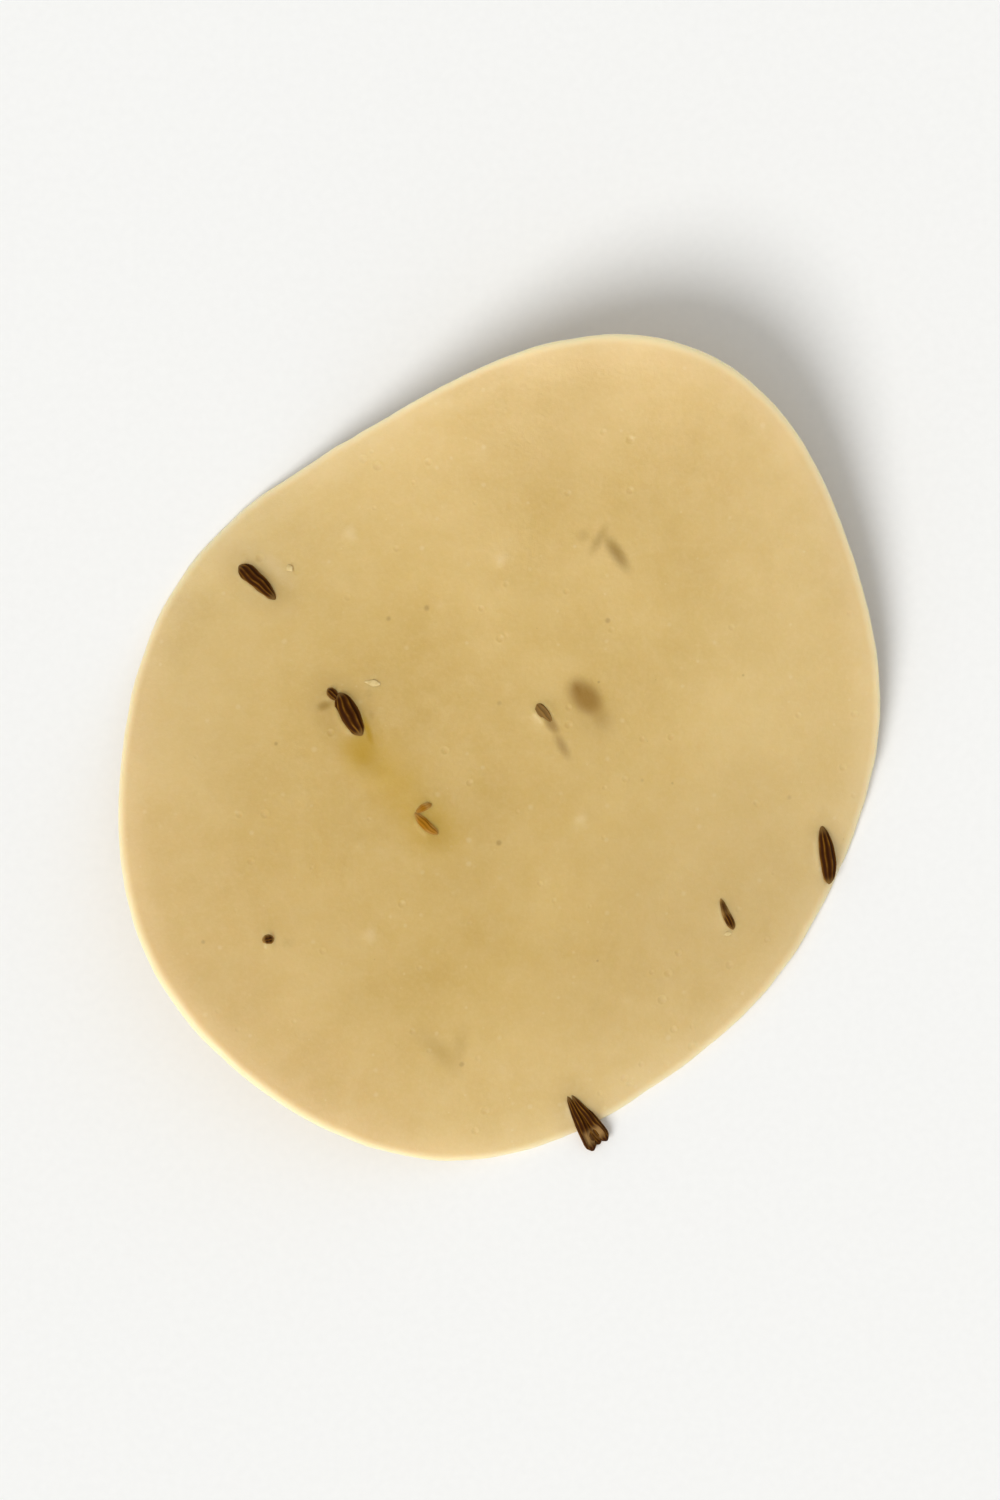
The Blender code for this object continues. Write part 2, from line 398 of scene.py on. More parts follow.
relief = {
    "swellWave": 6.5 * mm,              # slow unevenness of the poured batter
    "swellHeight": 0.13 * mm,
    "rippleWave": 1.9 * mm,             # skin that wrinkled in patches as it dried
    "rippleStretch": 2.1,               # wrinkles are this much longer than wide
    "rippleDrift": 3.0 * mm,            # and wander sideways
    "rippleHeight": 0.050 * mm,
    "rippleLayers": (1.0, 2.1, 3),      # how fast finer wrinkles get lower, how much finer, how many
    "patchWave": 11.0 * mm,             # size of those patches
    "patchLevel": 0.45,
    "patchContrast": 1.3,
    "calmShare": 0.15,                  # what is left of the wrinkles between the patches
    "underLevel": 30.0 * mm,            # the under face is this far off in the noise
    "ruffleWave": 2.4 * mm,             # small waves that run in from the rim
    "ruffleHeight": 0.075 * mm,
    "ruffleReach": 4.0 * mm,
    "edgeWave": 3.0 * mm,               # unevenness of the outline
    "edgeHeight": 0.07 * mm,
    "edgeLayers": (1.0, 2.2, 3),        # as for the wrinkles
    "edgeLevel": 7.0,                   # keeps its noise apart from the small waves
    "edgeReach": 1.2 * mm,              # where it gives way to the relief of the faces
    "collarReach": 0.26 * mm,           # dough drawn up round a seed
    "collarHeight": 0.17 * mm,
    "collarGrowth": 0.3,                # from nothing at both ends, over this share of the length
    "collarEnd": 8,                     # reaches from the seed, past which nothing is left
    "collarWidth": 1.4 * mm,            # round a narrower seed it is lower, and so is the mound
    "moundReach": 0.9 * mm,
    "moundHeight": 0.06 * mm,
    "fineReach": 1.0 * mm,              # how far round a seed the mesh is finer
    "chanceSeed": 11,
    "chanceArea": 0.94,                 # bubbles lie in this share of the disc, off the rim
    "blisterCount": 30,
    "blisterRadius": (0.45 * mm, 1.1 * mm),
    "blisterHeight": (0.015 * mm, 0.045 * mm),
    "pitCount": 80,                     # burst air bubbles
    "pitRadius": (0.14 * mm, 0.34 * mm),
    "pitDepthShare": 0.12,
    "lipShare": 0.25,                   # a burst bubble keeps a thin raised lip
    "lipPlace": 1.05,                   # in radii from its middle, as are the next two
    "lipWidth": 0.22,
    "lipEnd": 1.5,
    "pitFineReach": 0.24 * mm,          # how far past the lip the mesh is finer
    "pitFinestReach": 0.10 * mm,        # and finer still
    "cellReach": 1.6,                   # radii from its middle within which a point meets a bubble
    "speckPale": 0.8,                   # how pale those specks are
    "chancePale": 0.35,                 # and the other bubbles at most
    "paleStrength": 0.32,
    "paleRagged": 0.5,                  # how far the edge of a pale spot goes in and out
    "paleGrain": 0.5 * mm,
}

bubbleRow = namedtuple("bubbleRow", "x y radius rise pale")

# Air bubbles that show as pale specks: x, y, radius
paleSpecks = (
    (-10.9 * mm, 15.5 * mm, 0.9 * mm),
    (-0.4 * mm, 14.0 * mm, 0.8 * mm),
    (5.3 * mm, -4.6 * mm, 0.9 * mm),
    (-9.8 * mm, -12.7 * mm, 0.9 * mm),
)

# Seeds that lie whole under the skin and only raise it: x, y, heading, length, width
buriedRow = namedtuple("buriedRow", "x y heading length width")
buried = (
    buriedRow(5.7 * mm, 3.9 * mm, math.radians(-52), 2.9 * mm, 1.7 * mm),
    buriedRow(7.75 * mm, 14.45 * mm, math.radians(-56), 2.4 * mm, 0.8 * mm),
    buriedRow(-4.9 * mm, -21.3 * mm, math.radians(-45), 3.2 * mm, 1.2 * mm),
)


def scatterBubbles():
    # Low blisters and burst bubbles by chance, after the specks that have a place of their own
    draw = random.Random(relief["chanceSeed"])
    speckLook = relief["blisterHeight"][1], relief["speckPale"]
    bubbles = [bubbleRow(*speck, *speckLook) for speck in paleSpecks]
    for number in range(relief["blisterCount"] + relief["pitCount"]):
        isPit = number >= relief["blisterCount"]
        angle = draw.uniform(0, 2 * math.pi)
        out = math.sqrt(draw.uniform(0, relief["chanceArea"])) * outlineRadius(angle)
        radius = draw.uniform(*relief["pitRadius" if isPit else "blisterRadius"])
        rise = -radius * relief["pitDepthShare"] if isPit else draw.uniform(*relief["blisterHeight"])
        pale = draw.uniform(0, relief["chancePale"])
        bubbles.append(bubbleRow(out * math.cos(angle), out * math.sin(angle), radius, rise, pale))
    return bubbles


def cellsFor(middle, reach):
    return range(math.floor((middle - reach) / mm), math.floor((middle + reach) / mm) + 1)


def sortIntoCells(bubbles):
    # Cells of 1 mm, so that each point of the wafer meets only its own bubbles
    cells = {}
    for bubble in bubbles:
        reach = relief["cellReach"] * bubble.radius + relief["pitFineReach"]
        for cell in itertools.product(cellsFor(bubble.x, reach), cellsFor(bubble.y, reach)):
            cells.setdefault(cell, []).append(bubble)
    return cells


bubbleCells = sortIntoCells(scatterBubbles())


def bubblesNear(x, y):
    return bubbleCells.get((math.floor(x / mm), math.floor(y / mm)), ())


def bubbleRelief(x, y):
    height = 0.0
    for bubble in bubblesNear(x, y):
        away = math.hypot(x - bubble.x, y - bubble.y) / bubble.radius
        if away < 1.0:
            height += bubble.rise * (1.0 - away * away) ** 2
        if bubble.rise < 0.0:
            lip = math.exp(-((away - relief["lipPlace"]) / relief["lipWidth"]) ** 2)
            height -= relief["lipShare"] * bubble.rise * lip
    return height


def collarRelief(x, y):
    highest = 0.0
    for seed in seeds.values():
        away, share = seedDistance(x, y, seed)
        if away < relief["collarEnd"] * relief["collarReach"]:
            grown = smoothStep(min(share, 1.0 - share) / relief["collarGrowth"])
            rise = relief["collarHeight"] * grown * math.exp(-away / relief["collarReach"])
            rise += relief["moundHeight"] * math.exp(-(away / relief["moundReach"]) ** 2)
            highest = max(highest, rise * min(seed.width / relief["collarWidth"], 1.0))
    return highest


def buriedRelief(x, y):
    height = 0.0
    for lump in buried:
        along, across = alongAndAcross(x, y, lump)
        away = math.hypot(along / (lump.length / 2), across / (lump.width / 2))
        height += relief["moundHeight"] * math.exp(-away ** 2)
    return height


def skinWrinkle(x, y, level):
    # Slow swell and small wrinkles; an added vector keeps one noise apart from another
    point = Vector((x, y, level))
    height = relief["swellHeight"] * noise.noise(point / relief["swellWave"])
    patchNoise = noise.noise(point / relief["patchWave"] + Vector((2, 9, 4)))
    patch = smoothStep(relief["patchLevel"] + relief["patchContrast"] * patchNoise)
    drift = relief["rippleDrift"] * noise.noise(point / relief["swellWave"] + Vector((0, 0, 6)))
    along = (x * math.cos(archLine) + y * math.sin(archLine)) / relief["rippleStretch"]
    across = y * math.cos(archLine) - x * math.sin(archLine) + drift
    stretched = Vector((along, across, level)) / relief["rippleWave"]
    ripple = noise.fractal(stretched, *relief["rippleLayers"])
    shown = relief["calmShare"] + (1.0 - relief["calmShare"]) * patch
    return height + relief["rippleHeight"] * shown * ripple


def faceRelief(x, y, side):
    if side > wafer["flatSide"]:
        return skinWrinkle(x, y, 0.0) + bubbleRelief(x, y) + collarRelief(x, y) + buriedRelief(x, y)
    if side < -wafer["flatSide"]:
        return skinWrinkle(x, y, relief["underLevel"])
    return 0.0


def rimRuffle(angle, inside):
    # Small waves of the whole sheet, which run in from the rim and fade
    turns = wafer["meanRadius"] / relief["ruffleWave"]
    inward = inside / relief["ruffleReach"]
    point = Vector((math.cos(angle) * turns, math.sin(angle) * turns, inward))
    return relief["ruffleHeight"] * noise.noise(point) * (1.0 - smoothStep(inward))


def edgeUneven(angle):
    turns = wafer["meanRadius"] / relief["edgeWave"]
    point = Vector((math.cos(angle) * turns, math.sin(angle) * turns, relief["edgeLevel"]))
    return relief["edgeHeight"] * noise.fractal(point, *relief["edgeLayers"])


# Colour marks in the dough, in millimetres and degrees. Soft is how blurred the edge is, as a share
# of the half size. Tint 0 is brown seed under the skin, 1 yellow, 2 grey green and 3 pale

markRow = namedtuple("markRow", "x y heading length width soft tint strength")

marks = [
    markRow(x * mm, y * mm, math.radians(heading), length * mm, width * mm, soft, tint, strength)
    for x, y, heading, length, width, soft, tint, strength in (
        (5.6, 4.1, -48, 2.8, 1.8, 0.65, 0, 0.88),           # buried lozenge, darkest at its upper left
        (5.7, 4.0, -48, 3.0, 2.0, 0.80, 1, 0.20),
        (5.1, 4.6, -60, 1.5, 0.95, 0.80, 0, 0.95),
        (6.5, 2.9, -60, 2.3, 1.4, 1.00, 0, 0.42),
        (6.0, 3.1, -48, 4.6, 3.0, 1.00, 0, 0.19),
        (3.1, 2.3, -55, 1.7, 0.7, 0.70, 0, 0.60),           # tail of the short bit
        (3.9, 0.7, -62, 1.9, 0.65, 0.90, 0, 0.52),
        (7.75, 14.45, -56, 2.4, 0.80, 0.80, 2, 0.74),       # faint streaks near the top
        (6.5, 15.4, 61, 1.9, 0.60, 0.90, 2, 0.42),
        (5.4, 15.7, 0, 0.9, 0.80, 0.90, 2, 0.22),
        (-5.8, -4.9, -46, 4.2, 3.0, 1.00, 1, 0.50),         # halo of the tan bit
        (-5.4, -5.4, -46, 3.4, 2.4, 1.00, 0, 0.28),
        (-8.4, -1.5, -53, 7.2, 3.0, 1.00, 1, 0.48),         # yellow band from the cracked seed to it
        (-10.2, 0.2, -60, 3.0, 2.4, 1.00, 1, 0.74),
        (-10.1, 0.0, -60, 2.4, 1.6, 1.00, 2, 0.18),
        (-9.8, 1.5, -75, 2.2, 0.45, 0.70, 1, 0.80),
        (-9.8, 1.5, -75, 2.2, 0.45, 0.70, 2, 0.22),
        (-12.9, 3.4, 20, 0.9, 0.55, 0.80, 2, 0.55),         # crumbs of husk round the cracked seed
        (-9.75, 4.2, -80, 1.1, 0.45, 0.80, 0, 0.24),
        (-9.6, 2.8, -80, 0.9, 0.40, 0.80, 0, 0.29),
        (-4.9, -21.3, -45, 3.6, 1.2, 0.90, 2, 0.20),        # faint v near the bottom
        (-3.4, -21.0, 80, 2.6, 0.9, 0.90, 2, 0.14),
        (-16.1, 12.9, -46, 2.6, 0.9, 0.85, 3, 0.22),        # film of starch beside the upper left seed
        (-11.5, 2.6, -56, 6.4, 3.8, 1.00, 0, 0.28),         # stains round the seeds
        (-17.4, 12.1, -42, 5.8, 3.2, 1.00, 0, 0.23),
        (23.0, -7.4, -80, 6.0, 3.0, 1.00, 0, 0.24),
        (5.5, -26.0, -60, 6.4, 3.6, 1.00, 0, 0.22),
        (-15.6, -13.3, 0, 0.9, 0.6, 0.90, 0, 0.17),
        (-4.0, -5.0, -30, 40.0, 28.0, 1.00, 0, 0.10),       # painted shade: broad darker patches over the middle, lower right and top
        (12.0, -13.0, 45, 28.0, 18.0, 1.00, 0, 0.16),
        (3.0, 17.0, 0, 24.0, 14.0, 1.00, 0, 0.07),
        (16.0, 5.0, 80, 30.0, 16.0, 1.00, 3, 0.10),         # painted light: a broad paler patch on the right
    )
]


def markColours(x, y):
    # How strong each of the four tints is at a point
    values = [0.0, 0.0, 0.0, 0.0]
    for mark in marks:
        along, across = alongAndAcross(x, y, mark)
        away = math.hypot(along / (mark.length / 2), across / (mark.width / 2))
        edge = 1.0 - smoothStep((away - 1.0 + mark.soft) / (2.0 * mark.soft))
        values[mark.tint] = max(values[mark.tint], mark.strength * edge)
    for bubble in bubblesNear(x, y):
        unevenness = noise.noise(Vector((x, y, bubble.radius)) / relief["paleGrain"])
        radius = bubble.radius * (1.0 + relief["paleRagged"] * unevenness)
        pale = 1.0 - smoothStep(math.hypot(x - bubble.x, y - bubble.y) / radius)
        values[3] = max(values[3], relief["paleStrength"] * bubble.pale * pale)
    return values


# The wafer's mesh

def roundOut(x, y):
    # A point of the unit hexagon, moved so that every hexagon round its middle becomes a circle
    sixth = math.pi / 3
    sector = (math.atan2(y, x) - sixth / 2) / sixth
    turn = (sector - math.floor(sector) - 0.5) * sixth
    ring = math.hypot(x, y) * math.cos(turn) / math.cos(sixth / 2)
    share = 0.5 + math.tan(turn) / (2 * math.tan(sixth / 2))
    return ring, (math.floor(sector) + share + 0.5) * sixth


def closedDrum():
    # A hexagonal drum of radius 1 whose lids, at z = 1 and -1, are even triangle grids
    mesh = bmesh.new()
    bmesh.ops.create_circle(mesh, cap_ends=True, cap_tris=True, segments=6, radius=1.0)
    bmesh.ops.subdivide_edges(mesh, edges=mesh.edges, cuts=wafer["sectorCuts"], use_grid_fill=True)
    bmesh.ops.translate(mesh, verts=mesh.verts, vec=(0, 0, 1))
    top = list(mesh.faces)
    bmesh.ops.recalc_face_normals(mesh, faces=top)
    if top[0].normal.z < 0:
        bmesh.ops.reverse_faces(mesh, faces=top)
    under = bmesh.ops.duplicate(mesh, geom=list(mesh.verts) + list(mesh.edges) + top)["geom"]
    underVerts = [part for part in under if isinstance(part, bmesh.types.BMVert)]
    underFaces = [part for part in under if isinstance(part, bmesh.types.BMFace)]
    bmesh.ops.translate(mesh, verts=underVerts, vec=(0, 0, -2))
    bmesh.ops.reverse_faces(mesh, faces=underFaces)
    rims = [edge for edge in mesh.edges if edge.is_boundary]
    wall = bmesh.ops.bridge_loops(mesh, edges=rims)["edges"]
    bmesh.ops.subdivide_edges(mesh, edges=wall, cuts=wafer["rimSteps"] - 1, use_grid_fill=True)
    return mesh


def evenDisc():
    # The drum made round, with the wafer's outline and a rounded edge; z stays the side of a point
    mesh = closedDrum()
    half = wafer["thickness"] / 2
    for vert in mesh.verts:
        ring, angle = roundOut(vert.co.x, vert.co.y)
        side = vert.co.z * math.pi / 2
        radius = ring * (outlineRadius(angle) - half) + half * math.cos(side)
        vert.co = Vector((radius * math.cos(angle), radius * math.sin(angle), math.sin(side)))
    return mesh


def isNearSeed(point):
    return any(seedDistance(point.x, point.y, seed)[0] < relief["fineReach"] for seed in seeds.values())


def isNearPit(point, reach):
    return any(
        math.hypot(point.x - bubble.x, point.y - bubble.y) < relief["lipEnd"] * bubble.radius + reach
        for bubble in bubblesNear(point.x, point.y) if bubble.rise < 0.0)


def refineTop(mesh, isNear):
    # Cuts the triangles of the top face in four where isNear says yes
    fine = {vert for vert in mesh.verts if vert.co.z > wafer["flatSide"] and isNear(vert.co)}
    fineEdges = [edge for edge in mesh.edges if edge.verts[0] in fine and edge.verts[1] in fine]
    bmesh.ops.subdivide_edges(
        mesh, edges=fineEdges, cuts=1, use_grid_fill=True, use_single_edge=True)
    bmesh.ops.triangulate(
        mesh, faces=[face for face in mesh.faces if len(face.verts) > 3], quad_method="SHORT_EDGE")


def waferPoint(x, y, side, inside):
    # Where a point of the even disc lies on the dried wafer
    angle = math.atan2(y, x)
    thin = 1.0 - wafer["rimTaper"] * (1.0 - smoothStep(inside / wafer["rimTaperReach"]))
    fade = smoothStep(inside / relief["edgeReach"])
    height = wafer["thickness"] / 2 * side * thin + faceRelief(x, y, side) * fade
    push = 1.0
    if fade < 1.0:
        push += edgeUneven(angle) * (1.0 - fade) / math.hypot(x, y)
    return onSurface(x * push, y * push, height + rimRuffle(angle, inside))


def buildWafer(material):
    mesh = evenDisc()
    refineTop(mesh, lambda point: isNearSeed(point) or isNearPit(point, relief["pitFineReach"]))
    refineTop(mesh, lambda point: isNearPit(point, relief["pitFinestReach"]))
    markLayer = mesh.verts.layers.float_color.new("marks")
    rimLayer = mesh.verts.layers.float.new("rimDistance")
    for vert in mesh.verts:
        x, y, side = vert.co
        inside = outlineRadius(math.atan2(y, x)) - math.hypot(x, y)
        shows = 1.0 if side > 0.0 else wafer["underMarks"]
        vert[markLayer] = Vector([value * shows for value in markColours(x, y)])
        vert[rimLayer] = inside / mm
        vert.co = waferPoint(x, y, side, inside)
    bmesh.ops.recalc_face_normals(mesh, faces=mesh.faces)
    return makePiece("wafer", mesh, material)


# Materials

def hexColour(code):
    # sRGB hex to linear, with alpha 1
    values = [int(code[i:i + 2], 16) / 255 for i in (1, 3, 5)]
    linear = [v / 12.92 if v <= 0.04045 else ((v + 0.055) / 1.055) ** 2.4 for v in values]
    return (*linear, 1.0)


def setInputs(tree, node, inputs):
    # An input is a value, or a socket that gets linked
    for name, value in inputs.items():
        if isinstance(value, bpy.types.NodeSocket):
            tree.links.new(value, node.inputs[name])
        else:
            node.inputs[name].default_value = value


def addNode(tree, kind, inputs, **settings):
    node = tree.nodes.new(kind)
    for name, value in settings.items():
        setattr(node, name, value)
    setInputs(tree, node, inputs)
    return node


def newMaterial(name):
    material = bpy.data.materials.new(name)
    material.use_nodes = True
    tree = material.node_tree
    return material, tree, tree.nodes["Principled BSDF"]


def setRamp(node, stops):
    # Colour stops of a ramp, each a place and a hex colour; the default ramp has two
    ramp = node.color_ramp
    for _ in range(len(stops) - 2):
        ramp.elements.new(0.5)
    for element, (place, code) in zip(ramp.elements, stops):
        element.position = place
        element.color = hexColour(code)


def layColours(tree, tone, layers):
    # Lays hex colours over a colour socket in turn, each by its share. In a Mix node, inputs 6 and 7
    # and output 2 are the ones for colours
    for share, code in layers:
        mix = addNode(tree, "ShaderNodeMix", {0: share, 6: tone, 7: hexColour(code)}, data_type="RGBA")
        tone = mix.outputs[2]
    return tone


doughLook = {
    "tones": ((0.30, "#CFAF65"), (0.50, "#D5B66E"), (0.70, "#DABC77")),
    "cloudy": "#E4CB92",                # starch that set a little whiter
    # rim colour: partly the paler, thinner dough, partly painted glow and painted highlight of light
    # through and on the thin edge
    "rim": "#FFEBC2",
    "paleRimAndGlowZones": ((15.0, 0.16), (3.2, 0.20), (0.8, 0.85)),   # millimetres in from the rim, strength; pale thinner dough with painted glow, and a painted highlight on the edge
    "markTints": ("#825604", "#C49C12", "#8C680E", "#F0DDB2"),
    "broadGrain": 9.0 * mm,
    "cloudGrain": 1.7 * mm,
    "fineGrain": 0.35 * mm,
    # flecks of bran and tiny trapped bubbles: colour, spacing, largest as a share of that, strength
    "dots": (
        ("#9C7B41", 2.6 * mm, 0.10, 0.50),
        ("#E2CD98", 1.1 * mm, 0.26, 0.42),
    ),
    "dotRareness": 3.0,                 # the higher, the fewer of the dots are large
    "smallestDot": 0.02,
}


def dotLayers(tree, place):
    # A dot round each scattered point
    layers = []
    for code, spacing, largest, strength in doughLook["dots"]:
        dots = addNode(tree, "ShaderNodeTexVoronoi", {"Vector": place, "Scale": 1 / spacing})
        draw = addNode(tree, "ShaderNodeSeparateColor", {"Color": dots.outputs["Color"]})
        rare = addNode(tree, "ShaderNodeMath", {
            0: draw.outputs["Red"], 1: doughLook["dotRareness"]}, operation="POWER")
        size = addNode(tree, "ShaderNodeMath", {
            0: rare.outputs["Value"], 1: largest,
            2: doughLook["smallestDot"]}, operation="MULTIPLY_ADD")
        away = addNode(tree, "ShaderNodeMath", {
            0: dots.outputs["Distance"], 1: size.outputs["Value"]}, operation="DIVIDE")
        share = addNode(tree, "ShaderNodeMapRange", {
            "Value": away.outputs["Value"], "From Min": 0.3, "From Max": 1.0,
            "To Min": strength, "To Max": 0.0}, interpolation_type="SMOOTHSTEP")
        layers.append((share.outputs["Result"], code))
    return layers


def paleRimAndPaintedGlow(tree):
    # The dough is paler towards the rim, partly as thinner dough and partly as painted glow of light
    # through the thin rim, and the rounded edge itself is painted brightest as a highlight
    rim = addNode(tree, "ShaderNodeAttribute", {}, attribute_name="rimDistance").outputs["Fac"]
    layers = []
    for reach, strength in doughLook["paleRimAndGlowZones"]:
        zone = addNode(tree, "ShaderNodeMapRange", {
            "Value": rim, "From Min": 0.0, "From Max": reach,
            "To Min": strength, "To Max": 0.0}, interpolation_type="SMOOTHSTEP")
        layers.append((zone.outputs["Result"], doughLook["rim"]))
    return layers


def markLayers(tree):
    spots = addNode(tree, "ShaderNodeAttribute", {}, attribute_name="marks")
    parts = addNode(tree, "ShaderNodeSeparateColor", {"Color": spots.outputs["Color"]})
    shares = (*parts.outputs, spots.outputs["Alpha"])
    return list(zip(shares, doughLook["markTints"]))


def driedRiceDough():
    # Steamed and dried rice starch: waxy, a little see-through, so light bleeds through the thin rim
    material, tree, shader = newMaterial("dried rice dough")
    place = addNode(tree, "ShaderNodeTexCoord", {}).outputs["Object"]
    broad = addNode(tree, "ShaderNodeTexNoise", {
        "Vector": place, "Scale": 1 / doughLook["broadGrain"], "Detail": 3.0, "Roughness": 0.55})
    cloudy = addNode(tree, "ShaderNodeTexNoise", {
        "Vector": place, "Scale": 1 / doughLook["cloudGrain"], "Detail": 4.0, "Roughness": 0.6})
    grain = addNode(tree, "ShaderNodeTexNoise", {
        "Vector": place, "Scale": 1 / doughLook["fineGrain"], "Detail": 5.0, "Roughness": 0.65})
    tone = addNode(tree, "ShaderNodeValToRGB", {"Fac": broad.outputs["Fac"]})
    setRamp(tone, doughLook["tones"])
    layers = []
    for pattern, start, strength in ((cloudy, 0.40, 0.20), (grain, 0.45, 0.24)):
        share = addNode(tree, "ShaderNodeMapRange", {
            "Value": pattern.outputs["Fac"], "From Min": start, "From Max": 0.75,
            "To Min": 0.0, "To Max": strength})
        layers.append((share.outputs["Result"], doughLook["cloudy"]))
    layers += dotLayers(tree, place) + paleRimAndPaintedGlow(tree) + markLayers(tree)

    gloss = addNode(tree, "ShaderNodeMapRange", {
        "Value": cloudy.outputs["Fac"], "From Min": 0.3, "From Max": 0.7,
        "To Min": 0.34, "To Max": 0.50})
    waxy = addNode(tree, "ShaderNodeBump", {
        "Height": cloudy.outputs["Fac"], "Strength": 0.5, "Distance": 0.09 * mm})
    grainy = addNode(tree, "ShaderNodeBump", {
        "Height": grain.outputs["Fac"], "Strength": 0.5, "Distance": 0.024 * mm,
        "Normal": waxy.outputs["Normal"]})
    setInputs(tree, shader, {
        "Base Color": layColours(tree, tone.outputs["Color"], layers),
        "Roughness": gloss.outputs["Result"],
        "Normal": grainy.outputs["Normal"],
        "IOR": 1.49,
        "Specular IOR Level": 0.36,
        "Subsurface Weight": 0.65,
        "Subsurface Radius": (1.0, 0.78, 0.50),
        "Subsurface Scale": 1.1 * mm,
    })
    return material


def flakeDough():
    # Thin flakes of the same dough, dried through: matte and whiter
    material, tree, shader = newMaterial("dried dough flakes")
    place = addNode(tree, "ShaderNodeTexCoord", {}).outputs["Object"]
    chalk = addNode(tree, "ShaderNodeTexNoise", {
        "Vector": place, "Scale": 1 / doughLook["fineGrain"], "Detail": 3.0})
    tone = addNode(tree, "ShaderNodeValToRGB", {"Fac": chalk.outputs["Fac"]})
    setRamp(tone, ((0.35, "#D0B474"), (0.65, "#DEC68C")))
    chalky = addNode(tree, "ShaderNodeBump", {
        "Height": chalk.outputs["Fac"], "Strength": 0.4, "Distance": 0.03 * mm})
    setInputs(tree, shader, {
        "Base Color": tone.outputs["Color"],
        "Normal": chalky.outputs["Normal"],
        "Roughness": 0.65,
        "IOR": 1.45,
    })
    return material


huskLook = {
    "tones": ((0.0, "#341500"), (0.30, "#512D03"), (0.66, "#885C18")),     # valleys to ribs
    "tan": "#A06A12",
    "flesh": "#9C7848",
    "film": "#B08A4C",
    "mottleGrain": 0.90 * mm,
}


def cuminHusk():
    # Dried cumin fruit that soaked in the dough: dark matte husk with paler ribs along it
    material, tree, shader = newMaterial("cumin husk")
    rib = addNode(tree, "ShaderNodeAttribute", {}, attribute_name="rib").outputs["Fac"]
    place = addNode(tree, "ShaderNodeTexCoord", {}).outputs["Object"]
    mottle = addNode(tree, "ShaderNodeTexNoise", {
        "Vector": place, "Scale": 1 / huskLook["mottleGrain"], "Detail": 6.0, "Roughness": 0.6})
    ribTone = addNode(tree, "ShaderNodeMath", {0: rib, 1: mottle.outputs["Fac"]}, operation="MULTIPLY")
    ramp = addNode(tree, "ShaderNodeValToRGB", {"Fac": ribTone.outputs["Value"]})
    setRamp(ramp, huskLook["tones"])
    tones = addNode(tree, "ShaderNodeAttribute", {}, attribute_name="seedTone")
    parts = addNode(tree, "ShaderNodeSeparateXYZ", {"Vector": tones.outputs["Vector"]})
    layers = (
        (parts.outputs["Z"], huskLook["tan"]),
        (parts.outputs["Y"], huskLook["flesh"]),
        (parts.outputs["X"], huskLook["film"]),
    )
    mottled = addNode(tree, "ShaderNodeBump", {
        "Height": mottle.outputs["Fac"], "Strength": 0.5, "Distance": 0.03 * mm})
    setInputs(tree, shader, {
        "Base Color": layColours(tree, ramp.outputs["Color"], layers),
        "Normal": mottled.outputs["Normal"],
        "Roughness": 0.66,
        "Specular IOR Level": 0.06,
    })
    return material


dough = driedRiceDough()
husk = cuminHusk()
print("materials made")

waferPiece = buildWafer(dough)
wholeSeeds = buildSeeds("cuminSeeds", ("whole", "leftHalf", "rightHalf", "core"), husk)
seedBits = buildSeeds("cuminBits", ("bit", "veiled", "tan"), husk)
flakePiece = buildFlakes(flakeDough())


# Stand the wafer on its three feet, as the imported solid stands, and centre it

def boxOf(pieces):
    points = [vert.co for piece in pieces for vert in piece.data.vertices]
    low = Vector([min(point[axis] for point in points) for axis in range(3)])
    high = Vector([max(point[axis] for point in points) for axis in range(3)])
    return low, high


def lowestNear(points, direction):
    near = [
        point for point in points
        if abs(turnBetween(math.atan2(point.y, point.x), direction)) < wafer["footHalfAngle"]]
    return min(near, key=lambda point: point.z).copy()


def standOnFeet(base, others):
    points = [vert.co for vert in base.data.vertices]
    first, second, third = (lowestNear(points, direction) for direction in wafer["feet"])
    up = (second - first).cross(third - first).normalized()
    turn = up.rotation_difference(Vector((0, 0, 1))).to_matrix().to_4x4()
    for piece in (base, *others):
        piece.data.transform(turn)


def setInBox(base, others):
    low, high = boxOf([base, *others])
    middle = (low + high) / 2
    want = (cadLow + cadHigh) / 2
    shift = Vector((want.x - middle.x, want.y - middle.y, -boxOf([base])[0].z - wafer["footFlat"]))
    for piece in (base, *others):
        piece.data.transform(Matrix.Translation(shift))
    for vert in base.data.vertices:
        vert.co.z = max(vert.co.z, 0.0)


onTop = (wholeSeeds, seedBits, flakePiece)
for _ in range(wafer["settleRounds"]):
    standOnFeet(waferPiece, onTop)
setInBox(waferPiece, onTop)

for piece in (waferPiece, *onTop):
    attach(piece, "root")
    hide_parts("papadum")
print("pieces stand on their feet")


# Floor, light and camera

stage = {
    "floorSize": 12.0,
    "floorCells": 8,
    "cardTones": ((0.3, "#F4F4F2"), (0.7, "#F6F6F4")),
    "cardFibre": 0.6 * mm,
    "cameraHeight": 0.60,
    "lens": 200.0,                      # in Blender's millimetres of film, as is the film's width
    "filmWidth": 36.0,
    "roomColour": "#FFFFFE",
    "roomLow": 0.92,                    # brightness of the room round the sweep, as bright as its card
    "roomHigh": 0.52,                   # and of its ceiling
    "roomBlend": 0.35,
    "keyTurn": math.radians(232),       # the window light comes from the lower left
    "keyRise": math.radians(50),
    "keySpread": math.radians(34),
    "keyStrength": 1.96,
}


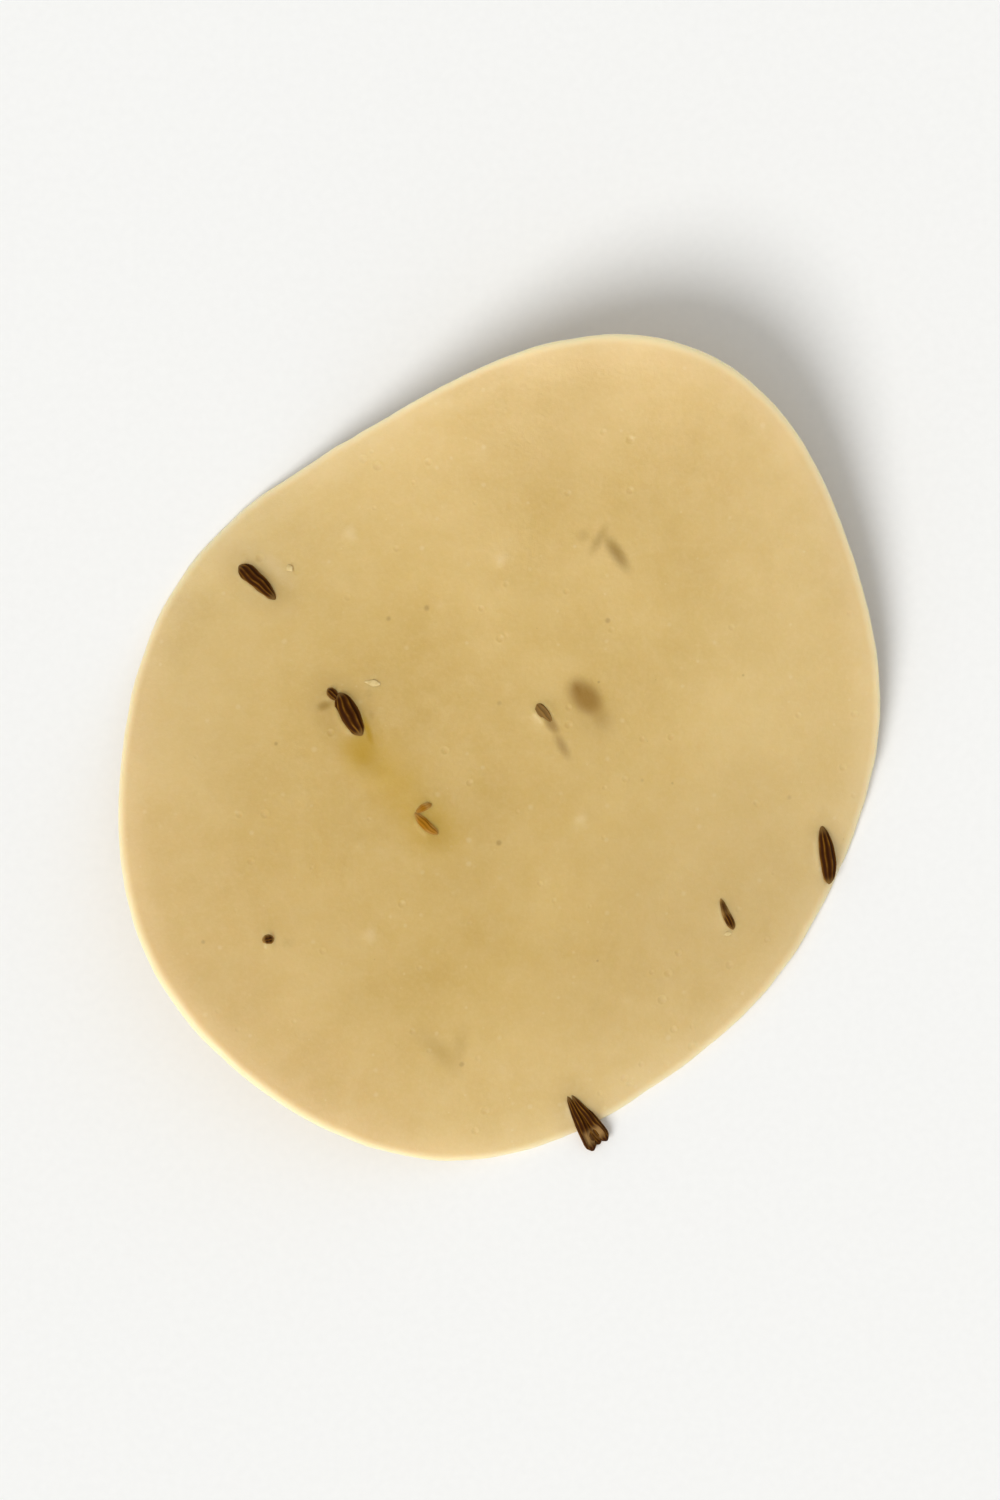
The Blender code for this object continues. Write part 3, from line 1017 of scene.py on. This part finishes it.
def whiteSweep():
    # Matte white card: pale and even, so only the soft shadow shows
    material, tree, shader = newMaterial("matte white card")
    place = addNode(tree, "ShaderNodeTexCoord", {}).outputs["Object"]
    fibre = addNode(tree, "ShaderNodeTexNoise", {
        "Vector": place, "Scale": 1 / stage["cardFibre"], "Detail": 3.0})
    tone = addNode(tree, "ShaderNodeValToRGB", {"Fac": fibre.outputs["Fac"]})
    setRamp(tone, stage["cardTones"])
    setInputs(tree, shader, {"Base Color": tone.outputs["Color"], "Roughness": 0.85})
    return material


def buildFloor():
    mesh = bmesh.new()
    cells = stage["floorCells"]
    bmesh.ops.create_grid(mesh, x_segments=cells, y_segments=cells, size=stage["floorSize"] / 2)
    floor = makePiece("sweep", mesh, whiteSweep())


def lightScene():
    # One wide soft light from far away, in a pale room that is brightest along its walls
    key = bpy.data.lights.new("windowLight", "SUN")
    key.energy = stage["keyStrength"]
    key.angle = stage["keySpread"]
    lamp = bpy.data.objects.new("windowLight", key)
    lamp.rotation_euler = (0.0, math.pi / 2 - stage["keyRise"], stage["keyTurn"])
    bpy.context.scene.collection.objects.link(lamp)
    world = bpy.data.worlds.new("pale room")
    world.use_nodes = True
    tree = world.node_tree
    look = addNode(tree, "ShaderNodeTexCoord", {}).outputs["Generated"]
    rise = addNode(tree, "ShaderNodeSeparateXYZ", {"Vector": look}).outputs["Z"]
    level = addNode(tree, "ShaderNodeMapRange", {
        "Value": rise, "From Min": 0.0, "From Max": stage["roomBlend"],
        "To Min": stage["roomLow"], "To Max": stage["roomHigh"]}, interpolation_type="SMOOTHSTEP")
    setInputs(tree, tree.nodes["Background"], {
        "Color": hexColour(stage["roomColour"]), "Strength": level.outputs["Result"]})
    bpy.context.scene.world = world


def addCamera():
    camera = bpy.data.cameras.new("straight down")
    camera.lens = stage["lens"]
    camera.sensor_width = stage["filmWidth"]
    eye = bpy.data.objects.new("straight down", camera)
    eye.location = (0.0, 0.0, stage["cameraHeight"])
    bpy.context.scene.collection.objects.link(eye)
    bpy.context.scene.camera = eye


buildFloor()
lightScene()
addCamera()
bpy.context.scene.view_settings.view_transform = "Standard"
print("stage, light and camera made")
